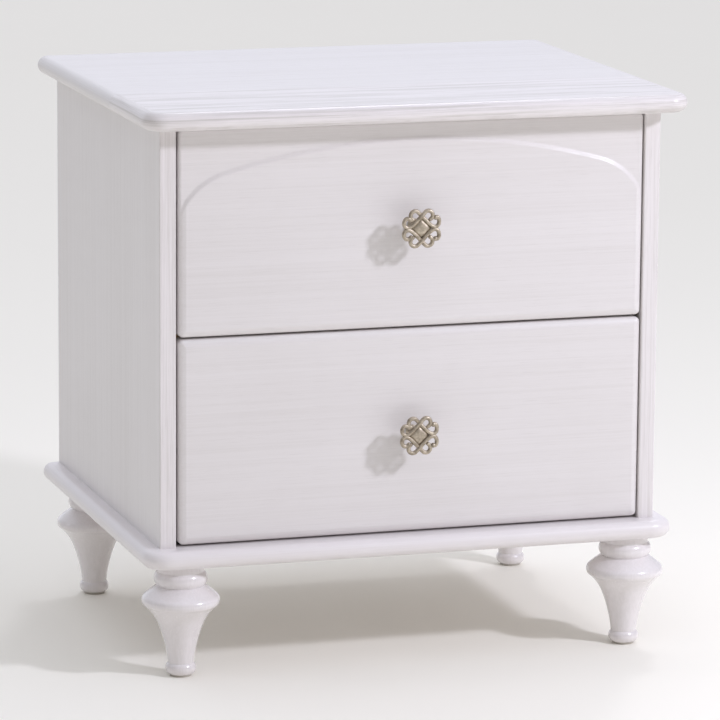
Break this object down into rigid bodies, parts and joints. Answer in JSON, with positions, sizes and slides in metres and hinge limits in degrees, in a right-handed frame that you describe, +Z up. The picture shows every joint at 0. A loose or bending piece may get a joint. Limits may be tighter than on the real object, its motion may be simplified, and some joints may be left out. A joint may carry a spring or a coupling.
{
  "type": "nightstand",
  "caption": "Bedside cabinet with inset drawers on full-extension slides, half-round board edges, turned legs and openwork knobs.",
  "frame": {"origin": "middle of the footprint on the floor", "axes": "+Z up, the drawers open towards -Y, +X to the right as seen from the front"},
  "size_m": [0.541, 0.44, 0.549],
  "materials": {
    "white_lacquer": "satin white lacquer over open-pored brushed wood",
    "birch": "clear matt lacquer on birch",
    "beech": "raw",
    "pewter": "antique pewter plating, satin",
    "zinc_steel": "bright zinc plating",
    "screw_steel": "zinc plating",
    "glide_plastic": "matt"
  },
  "bodies": {
    "carcass": {"back_left_glide": "glide_plastic", "back_left_leg": "white_lacquer", "back_panel": "white_lacquer", "back_panel_screws": "screw_steel", "back_right_glide": "glide_plastic", "back_right_leg": "white_lacquer", "base_board": "white_lacquer", "cabinet_slide_screws": "screw_steel", "carcass_dowels": "beech", "front_left_glide": "glide_plastic", "front_left_leg": "white_lacquer", "front_right_glide": "glide_plastic", "front_right_leg": "white_lacquer", "left_side_panel": "white_lacquer", "leg_hanger_bolts": "screw_steel", "leg_threaded_inserts": "screw_steel", "lower_left_cabinet_member": "zinc_steel", "lower_right_cabinet_member": "zinc_steel", "middle_rail": "birch", "rear_top_rail": "birch", "right_side_panel": "white_lacquer", "top_board": "white_lacquer", "upper_left_cabinet_member": "zinc_steel", "upper_right_cabinet_member": "zinc_steel"},
    "upper_drawer": {"upper_drawer_back": "birch", "upper_drawer_dowels": "beech", "upper_drawer_floor": "birch", "upper_drawer_front": "white_lacquer", "upper_drawer_inner_front": "birch", "upper_drawer_left_side": "birch", "upper_drawer_right_side": "birch", "upper_drawer_slide_screws": "screw_steel", "upper_front_screws": "screw_steel", "upper_knob_head": "pewter", "upper_knob_screw": "screw_steel", "upper_knob_stem": "pewter", "upper_left_drawer_member": "zinc_steel", "upper_right_drawer_member": "zinc_steel"},
    "lower_drawer": {"lower_drawer_back": "birch", "lower_drawer_dowels": "beech", "lower_drawer_floor": "birch", "lower_drawer_front": "white_lacquer", "lower_drawer_inner_front": "birch", "lower_drawer_left_side": "birch", "lower_drawer_right_side": "birch", "lower_drawer_slide_screws": "screw_steel", "lower_front_screws": "screw_steel", "lower_knob_head": "pewter", "lower_knob_screw": "screw_steel", "lower_knob_stem": "pewter", "lower_left_drawer_member": "zinc_steel", "lower_right_drawer_member": "zinc_steel"},
    "upper_slides": {"upper_left_intermediate_member": "zinc_steel", "upper_right_intermediate_member": "zinc_steel"},
    "lower_slides": {"lower_left_intermediate_member": "zinc_steel", "lower_right_intermediate_member": "zinc_steel"}
  },
  "joints": [
    {"name": "upper_drawer_slide", "type": "slide", "parent": "carcass", "child": "upper_drawer", "axis": [0, -1, 0], "range_m": [0, 0.35]},
    {"name": "upper_slide_extension", "type": "slide", "parent": "carcass", "child": "upper_slides", "axis": [0, -1, 0], "range_m": [0, 0.175]},
    {"name": "lower_drawer_slide", "type": "slide", "parent": "carcass", "child": "lower_drawer", "axis": [0, -1, 0], "range_m": [0, 0.35]},
    {"name": "lower_slide_extension", "type": "slide", "parent": "carcass", "child": "lower_slides", "axis": [0, -1, 0], "range_m": [0, 0.175]}
  ],
  "couplings": [
    {"joint": "upper_slide_extension", "follows": "upper_drawer_slide", "ratio": 0.5},
    {"joint": "lower_slide_extension", "follows": "lower_drawer_slide", "ratio": 0.5}
  ]
}
